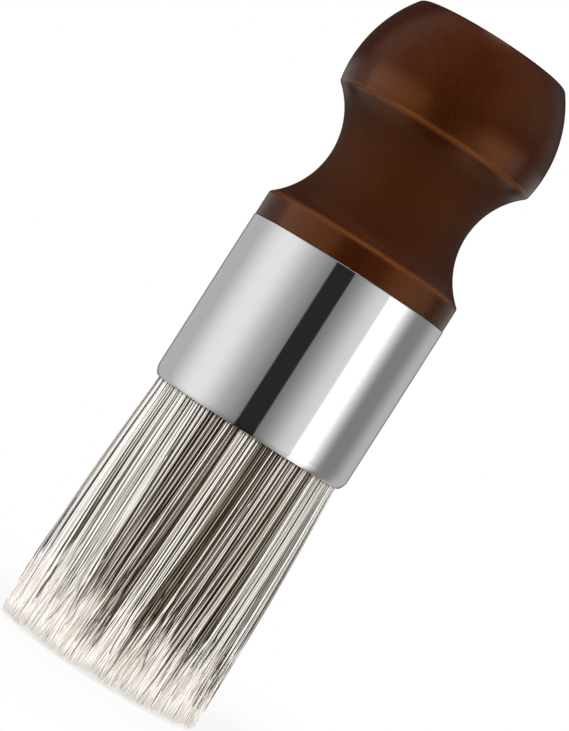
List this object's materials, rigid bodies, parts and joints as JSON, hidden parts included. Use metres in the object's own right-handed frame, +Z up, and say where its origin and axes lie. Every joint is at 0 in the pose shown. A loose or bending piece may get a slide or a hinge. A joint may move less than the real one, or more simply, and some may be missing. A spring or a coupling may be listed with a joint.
{
  "type": "furniture wax brush",
  "caption": "Round palm-grip wax brush: turned and lacquered hardwood handle, curled-lip steel ferrule and a thick, flat-cut knot of mixed natural filaments.",
  "frame": {"origin": "on the axis at the tips of the filaments, where the upright brush stands", "axes": "+Z up the axis from the filaments to the flat top of the handle; the brush is round, so X and Y are free"},
  "size_m": [0.0387, 0.0388, 0.1256],
  "materials": {
    "lacquered_wood": "dark stained hardwood under gloss lacquer",
    "plated_steel": "bright plated, polished",
    "resin": "cast amber epoxy",
    "natural_filament": "natural bristle, satin",
    "brown_filament": "natural bristle, satin",
    "cream_filament": "natural bristle, satin",
    "grey_filament": "natural bristle, satin"
  },
  "bodies": {
    "root": {"handle": "lacquered_wood", "ferrule": "plated_steel", "setting_resin": "resin", "inner_filaments": "natural_filament", "brown_filaments": "brown_filament", "cream_filaments": "cream_filament", "grey_filaments": "grey_filament"}
  },
  "joints": []
}
